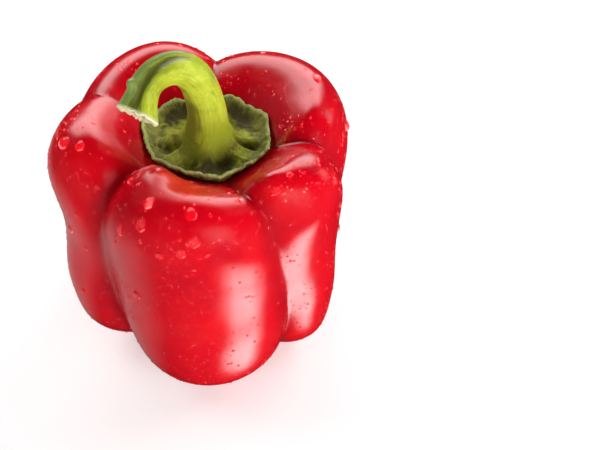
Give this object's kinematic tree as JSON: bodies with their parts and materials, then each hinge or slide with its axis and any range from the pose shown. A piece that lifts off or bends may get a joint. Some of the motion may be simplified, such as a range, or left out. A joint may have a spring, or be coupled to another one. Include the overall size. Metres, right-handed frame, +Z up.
{
  "type": "bell pepper",
  "caption": "Blocky ripe bell pepper, deeply lobed, with a sunken crinkled calyx and a thick stem that hooks over to a flared cut; stands on its lobe tips.",
  "frame": {"origin": "on the surface that the pepper stands on, under the middle of its bounding box", "axes": "+Z up, from the lobe tips to the top of the stem's hook; +X to the right and +Y to the back, seen from the side where the stem hooks over to the left"},
  "size_m": [0.0998, 0.098, 0.1229],
  "materials": {
    "red_skin": "ripe pepper skin: deep waxy red, smooth and glossy, with small drops of water",
    "calyx_green": "dark olive leaf tissue, ribbed and crinkled, paler along its rim",
    "stem_green": "fresh yellow-green stalk with fine lengthwise fibres and a pale ragged cut end"
  },
  "bodies": {
    "root": {"fruit": "red_skin", "calyx": "calyx_green", "stem": "stem_green"}
  },
  "joints": []
}
